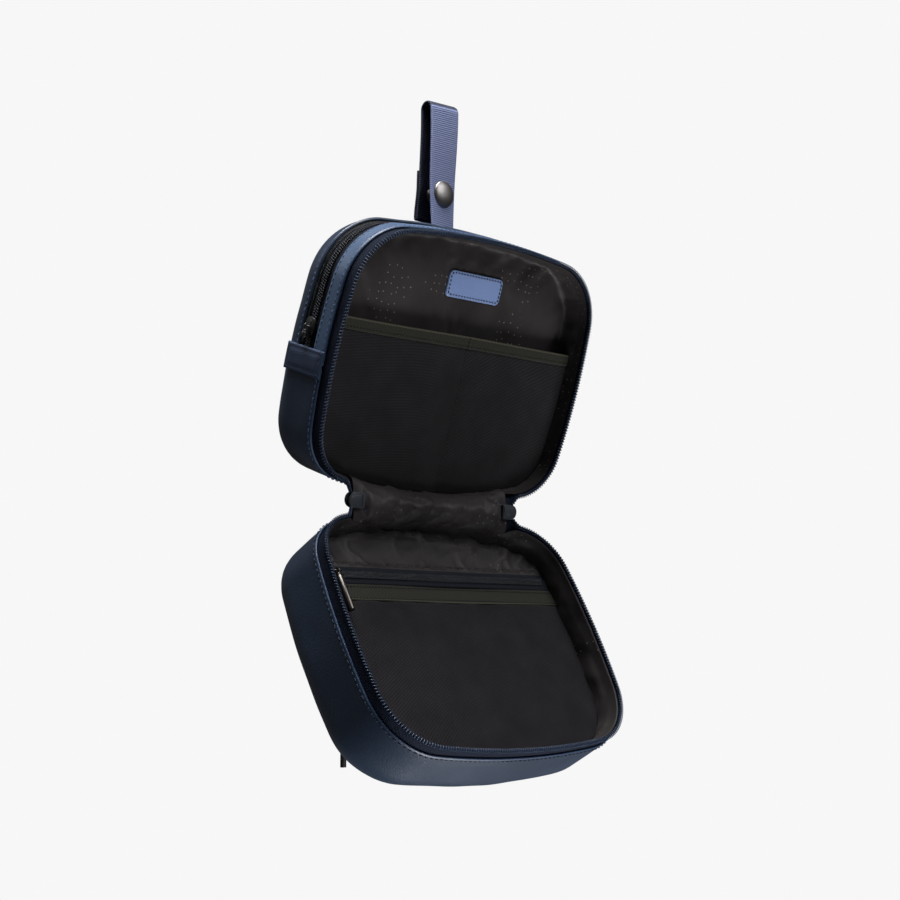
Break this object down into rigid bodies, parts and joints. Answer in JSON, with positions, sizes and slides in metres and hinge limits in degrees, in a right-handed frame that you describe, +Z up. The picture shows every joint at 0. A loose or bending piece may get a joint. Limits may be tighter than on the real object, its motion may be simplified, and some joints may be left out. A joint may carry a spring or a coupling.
{
  "type": "shaving kit bag",
  "caption": "Hanging clamshell shaving kit bag, shown open: two zipped leather halves joined by a hinge strip, with mesh pockets, side and rear pockets and a snap-closed webbing loop.",
  "frame": {"origin": "axis of the hanging loop, at the middle of the webbing's width", "axes": "+X across the bag along the loop's axis, -Y towards the viewer who looks into the open bag, +Z up as the bag hangs"},
  "size_m": [0.1961, 0.1142, 0.3807],
  "materials": {
    "navy_leather": "matte fine-grain coated leather",
    "blue_leather": "matte blue leather",
    "black_tape": "woven zip tape",
    "black_coil": "satin nylon coil",
    "navy_tape": "woven zip tape",
    "navy_coil": "satin nylon coil",
    "foam": "matte foam",
    "lining": "satin nylon lining",
    "mesh": "fine mesh",
    "binding": "ribbed binding",
    "webbing": "ribbed webbing",
    "gunmetal": "dark plated metal",
    "slate_metal": "satin slate enamel",
    "black_metal": "satin black enamel"
  },
  "bodies": {
    "upper_half": {"upper_shell": "navy_leather", "upper_front_band": "navy_leather", "keeper_tab_left": "navy_leather", "keeper_tab_right": "navy_leather", "arch_zip_tape": "black_tape", "arch_zip_coil": "black_coil", "upper_foam": "foam", "upper_tray_lining": "lining", "rear_pocket_lining": "lining", "upper_mesh": "mesh", "upper_mesh_binding": "binding", "label_patch": "blue_leather", "main_zip_tape_upper": "navy_tape", "main_zip_teeth_upper": "navy_coil", "hinge_spine_upper": "navy_leather", "hanging_strap": "webbing", "snap_cap": "gunmetal", "snap_socket": "gunmetal", "main_slider_left": "slate_metal", "main_slider_right": "slate_metal"},
    "lower_half": {"lower_shell": "navy_leather", "lower_foam": "foam", "lower_lining": "lining", "outer_pouch": "lining", "outer_zip_tape": "black_tape", "outer_zip_coil": "black_coil", "lower_partition_lining": "lining", "inner_zip_tape": "black_tape", "inner_zip_coil": "black_coil", "mesh_band": "binding", "lower_mesh": "mesh", "main_zip_tape_lower": "navy_tape", "main_zip_teeth_lower": "navy_coil", "hinge_spine_lower": "navy_leather"},
    "strap_end": {"strap_flap": "webbing", "strap_hem": "webbing", "snap_stud": "gunmetal"},
    "rear_zip_slider": {"arch_slider": "black_metal"},
    "rear_zip_pull": {"arch_pull": "black_metal"},
    "outer_zip_slider": {"outer_slider": "black_metal"},
    "outer_zip_pull": {"outer_pull": "black_metal"},
    "inner_zip_slider": {"inner_slider": "gunmetal"},
    "inner_zip_pull": {"inner_pull": "gunmetal"},
    "main_zip_pull_left": {"main_pull_left": "gunmetal"},
    "main_zip_pull_right": {"main_pull_right": "gunmetal"}
  },
  "joints": [
    {"name": "clamshell", "type": "hinge", "parent": "upper_half", "child": "lower_half", "pos_m": [0, 0.0019, -0.225], "axis": [1, 0, 0], "range_deg": [-132, 48]},
    {"name": "strap_unsnap", "type": "hinge", "parent": "upper_half", "child": "strap_end", "pos_m": [0, 0.00425, 0], "axis": [1, 0, 0], "range_deg": [0, 90]},
    {"name": "rear_zip_run", "type": "hinge", "parent": "upper_half", "child": "rear_zip_slider", "pos_m": [0.285, -0.00002, -0.14571], "axis": [0, 0.9455, 0.3256], "range_deg": [0, 3.21]},
    {"name": "rear_zip_pull_swing", "type": "hinge", "parent": "rear_zip_slider", "child": "rear_zip_pull", "pos_m": [-0.09798, -0.00311, -0.13675], "axis": [0, 0.9455, 0.3256], "range_deg": [0, 150]},
    {"name": "outer_zip_run", "type": "slide", "parent": "lower_half", "child": "outer_zip_slider", "axis": [1, 0, 0], "range_m": [0, 0.13]},
    {"name": "outer_zip_pull_swing", "type": "hinge", "parent": "outer_zip_slider", "child": "outer_zip_pull", "pos_m": [-0.065, 0.00287, -0.34102], "axis": [1, 0, 0], "range_deg": [-29, 120]},
    {"name": "inner_zip_run", "type": "slide", "parent": "lower_half", "child": "inner_zip_slider", "axis": [1, 0, 0], "range_m": [0, 0.154]},
    {"name": "inner_zip_pull_swing", "type": "hinge", "parent": "inner_zip_slider", "child": "inner_zip_pull", "pos_m": [-0.077, -0.00477, -0.26303], "axis": [-1, 0, 0], "range_deg": [0, 115]},
    {"name": "main_zip_pull_left_swing", "type": "hinge", "parent": "upper_half", "child": "main_zip_pull_left", "pos_m": [-0.059, 0.00616, -0.2244], "axis": [0, 0.1392, -0.9903], "range_deg": [-160, 0]},
    {"name": "main_zip_pull_right_swing", "type": "hinge", "parent": "upper_half", "child": "main_zip_pull_right", "pos_m": [0.059, 0.00616, -0.2244], "axis": [0, -0.1392, 0.9903], "range_deg": [-160, 0]}
  ]
}
